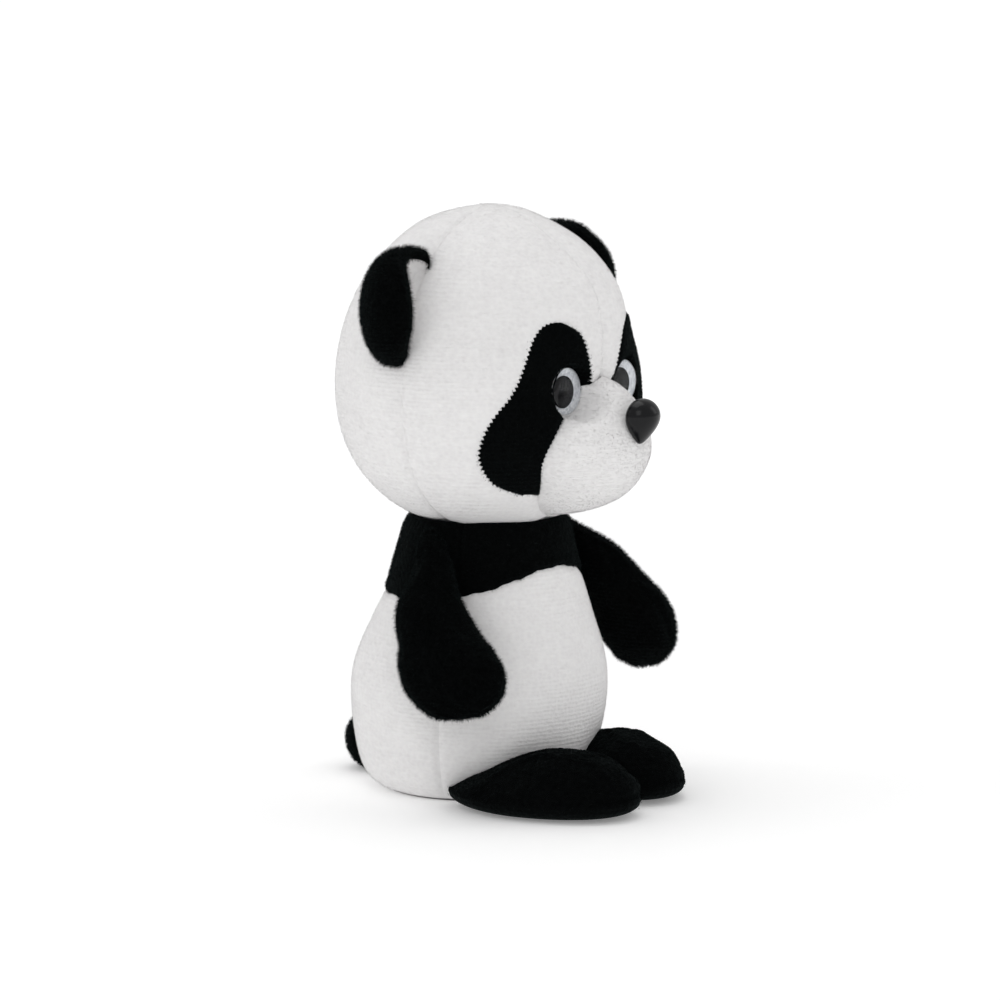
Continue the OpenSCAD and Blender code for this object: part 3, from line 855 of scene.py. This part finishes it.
# share of the length, half width, and how far the middle bends back there
ARM_PROFILE = [(0, 0.5, 0), (0.03, 3.8, 0), (0.10, 5.2, 0.3), (0.19, 6.5, 1.0), (0.39, 10.9, 3.9),
               (0.58, 13.8, 2.6), (0.72, 16.2, 0.7), (0.82, 16.1, -1.0), (0.92, 12.7, -2.3),
               (0.975, 7.5, -2.5), (1, 0.4, -2.5)]
ARM_LEAN = math.radians(38)
ARM_TURNS = {-1: (51.5, 19.5), 1: (45.6, 32.5)}     # heading and roll of the right and the left arm
LEFT_SHOULDER_SHIFT = np.array([-1.4, -0.5, 3.0])
ARM_SEWN_IN = 3.0         # length of the end inside the shoulder seam


def turn_z(a):
    return np.array([[math.cos(a), -math.sin(a), 0], [math.sin(a), math.cos(a), 0], [0, 0, 1]])


def turn_y(a):
    return np.array([[math.cos(a), 0, math.sin(a)], [0, 1, 0], [-math.sin(a), 0, math.cos(a)]])


def arm_axes(heading, roll):
    return turn_z(math.radians(heading)) @ turn_y(ARM_LEAN - math.pi) @ turn_z(math.radians(roll))


def arm_skin(sign, rows=110, around=120):
    run = smooth_list(ARM_PROFILE, rows)
    share, half, bend = run[:, :1], run[:, 1:2], run[:, 2:]
    b = np.linspace(0, 2 * math.pi, around, endpoint=False)[None, :]
    side = np.cos(b)
    thick = half * ARM_FLAT * np.sign(np.sin(b)) * abs(np.sin(b)) ** 0.8
    seam = np.exp(-(np.sin(b) * half / 1.2) ** 2)
    width = half * np.sign(side) * abs(side) ** 0.9 - np.sign(side) * seam * 0.5 - sign * bend
    down = ARM_LEN * share - ARM_SEWN_IN + 0 * b
    local = np.stack([thick + 0 * down, width + 0 * down, down], -1)
    axes = arm_axes(*ARM_TURNS[sign])
    points = local @ axes.T + SHOULDER + (LEFT_SHOULDER_SHIFT if sign > 0 else 0)
    points = points.reshape(-1, 3)
    swell = 0.5 * wobble(points[:, 0], points[:, 1], points[:, 2], 22, 17)
    points = points + axes[:, 0] * swell[:, None]
    points[:, 0] *= -sign
    return points, grid_faces(rows, around, True), around


for side, sign in (("right", -1), ("left", 1)):
    points, faces, around = arm_skin(sign)
    held = np.arange(len(points)) % (around // 2) == 0
    held[:8 * around] = True
    held[-around:] = True
    flip = slice(None, None, sign)
    points = settled(points, faces[:, flip], held)
    column = faces[:, 0] % around
    for part, chosen in (("outer", column < around // 2), ("inner", column >= around // 2)):
        panel = mesh_object(f"arm_{part}_{side}_plush", points, faces[chosen][:, flip],
                            f"arm_{side}", "black_plush", black_plush)
        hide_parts(f"arm_{part}_{side}")
        if part == "outer":
            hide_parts(f"arm_stuffing_{side}")
        black_pile(panel, f"arm_{side}", 51, length=1.8)

# ---------------------------------------------------------------------------
# Feet: leaf shaped black pads, a domed top sewn to a flat sole, sewn to the
# body's front edge with the toes turned in.

FOOT_PLACE = np.array([-23.3, -47.0, 0.0])
LEFT_FOOT_SHIFT = np.array([2.2, 5.2])     # sewn on a little further in and back
FOOT_LEN = 67.0
FOOT_W = 38.0
FOOT_TURN = math.radians(19)
FOOT_TOP_Z = 21.0
FOOT_EDGE_Z = 5.5


def foot_skin(sign, rows=60, around=140):
    b = np.linspace(0, 2 * math.pi, around, endpoint=False)[None, :]
    ring = np.concatenate([np.linspace(0.01, 1, rows), np.linspace(1, 0.01, rows)[1:]])[:, None]
    top = np.concatenate([np.ones(rows), np.zeros(rows - 1)])[:, None] > 0.5
    toe = np.clip(-np.sin(b), 0, 1)
    bow = np.clip(1 - ring ** (2.2 + 1.8 * toe), 0, 1) ** (0.62 - 0.16 * toe)
    z = np.where(top, FOOT_EDGE_Z + (FOOT_TOP_Z - FOOT_EDGE_Z) * bow,
                 FOOT_EDGE_Z - (FOOT_EDGE_Z - 0.1) * np.clip(1 - ring ** 5, 0, 1) ** 0.5)
    along = np.sin(b)
    heel = np.clip(along, 0, 1)
    across = np.sign(np.cos(b)) * abs(np.cos(b)) ** (0.92 + 0.4 * heel)
    x = FOOT_W / 2 * ring * across * (1 - 0.06 * along)
    y = FOOT_LEN / 2 * ring * along
    thick = 1 - 0.42 * np.clip(ring * along + 0.15, 0, 1) ** 1.1
    z = FOOT_EDGE_Z + (z - FOOT_EDGE_Z) * np.where(z > FOOT_EDGE_Z, thick, 1) + 0 * b
    c, s = math.cos(FOOT_TURN), math.sin(FOOT_TURN)
    points = np.stack([x * c - y * s, x * s + y * c, z], -1) + FOOT_PLACE
    points = points.reshape(-1, 3)
    swell = wobble(points[:, 0], points[:, 1], points[:, 2], 20, 23)
    points[:, 2] += np.where(points[:, 2] > FOOT_EDGE_Z, 0.5 * swell, 0)
    if sign > 0:
        points[:, :2] += LEFT_FOOT_SHIFT
    points[:, 0] *= -sign
    return points, grid_faces(2 * rows - 1, around, True), rows, around


for side, sign in (("right", -1), ("left", 1)):
    points, faces, rows, around = foot_skin(sign)
    held = np.arange(len(points)) >= (rows - 1) * around
    held[:around] = True
    flip = slice(None, None, -sign)
    points = settled(points, faces[:, flip], held)
    row = faces[:, 0] // around
    for part, chosen in (("top", row < rows - 1), ("sole", row >= rows - 1)):
        panel = mesh_object(f"foot_{part}_{side}_plush", points, faces[chosen][:, flip],
                            f"foot_{side}", "black_plush", black_plush)
        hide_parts(f"foot_{part}_{side}")
        if part == "top":
            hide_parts(f"foot_stuffing_{side}")
        if part == "top":
            black_pile(panel, f"foot_{side}", 61)

# ---------------------------------------------------------------------------
# Tail: a small gathered ball of black plush, sewn low on the back.

TAIL_PLACE = np.array([0.0, 44.0, 10.4])
TAIL_R = 10.3
TAIL_SEAM_Y = 41.0        # in front of this the ball is gathered into the back


def tail_skin_mesh(rings=40, around=72):
    up = np.linspace(-math.pi / 2, math.pi / 2, rings)[:, None]
    a = np.linspace(0, 2 * math.pi, around, endpoint=False)[None, :]
    ball = [np.cos(up) * np.sin(a), -np.cos(up) * np.cos(a), np.sin(up) + 0 * a]
    points = np.stack(ball, -1).reshape(-1, 3)
    size = TAIL_R * (1 + 0.03 * wobble(points[:, 0], points[:, 1], points[:, 2], 1.4, 31))
    return points * size[:, None] + TAIL_PLACE, grid_faces(rings, around, True)


points, faces = tail_skin_mesh()
points = settled(points, faces, points[:, 1] < TAIL_SEAM_Y)
tail = mesh_object("tail_plush", points, faces, "tail", "black_plush", black_plush)
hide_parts("tail_skin", "tail_stuffing")
black_pile(tail, "tail", 71, length=1.4)

# ---------------------------------------------------------------------------
# Inside, out of sight: locking washers, the pouch of pellets and the thread
# that draws the head's opening onto the neck. The CAD solids stand as they are.


def inner_finish(name, colour, roughness, grain):
    made, nodes, links = new_material(name)
    nodes["Principled BSDF"].inputs["Roughness"].default_value = roughness
    place = nodes.new("ShaderNodeTexCoord")
    noise = nodes.new("ShaderNodeTexNoise")
    noise.inputs["Scale"].default_value = grain
    ramp = nodes.new("ShaderNodeValToRGB")
    ramp.color_ramp.elements[0].color = (*(v * 0.8 for v in colour), 1)
    ramp.color_ramp.elements[1].color = (*colour, 1)
    links.new(place.outputs["Object"], noise.inputs["Vector"])
    links.new(noise.outputs["Fac"], ramp.inputs["Fac"])
    links.new(ramp.outputs["Color"], nodes["Principled BSDF"].inputs["Base Color"])
    return made


washer_plastic = inner_finish("washer_plastic", (0.8, 0.8, 0.78), 0.45, 200)
pouch_cotton = inner_finish("pouch_cotton", (0.75, 0.7, 0.6), 0.9, 700)
neck_cotton = inner_finish("neck_cotton", (0.8, 0.8, 0.79), 0.8, 1500)
for node, material in (("eye_washer_left", washer_plastic), ("eye_washer_right", washer_plastic),
                       ("nose_washer", washer_plastic), ("pellet_pouch", pouch_cotton),
                       ("neck_thread", neck_cotton)):
    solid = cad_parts[node]
    if solid.material_slots:
        solid.material_slots[0].material = material
    else:
        solid.data.materials.append(material)
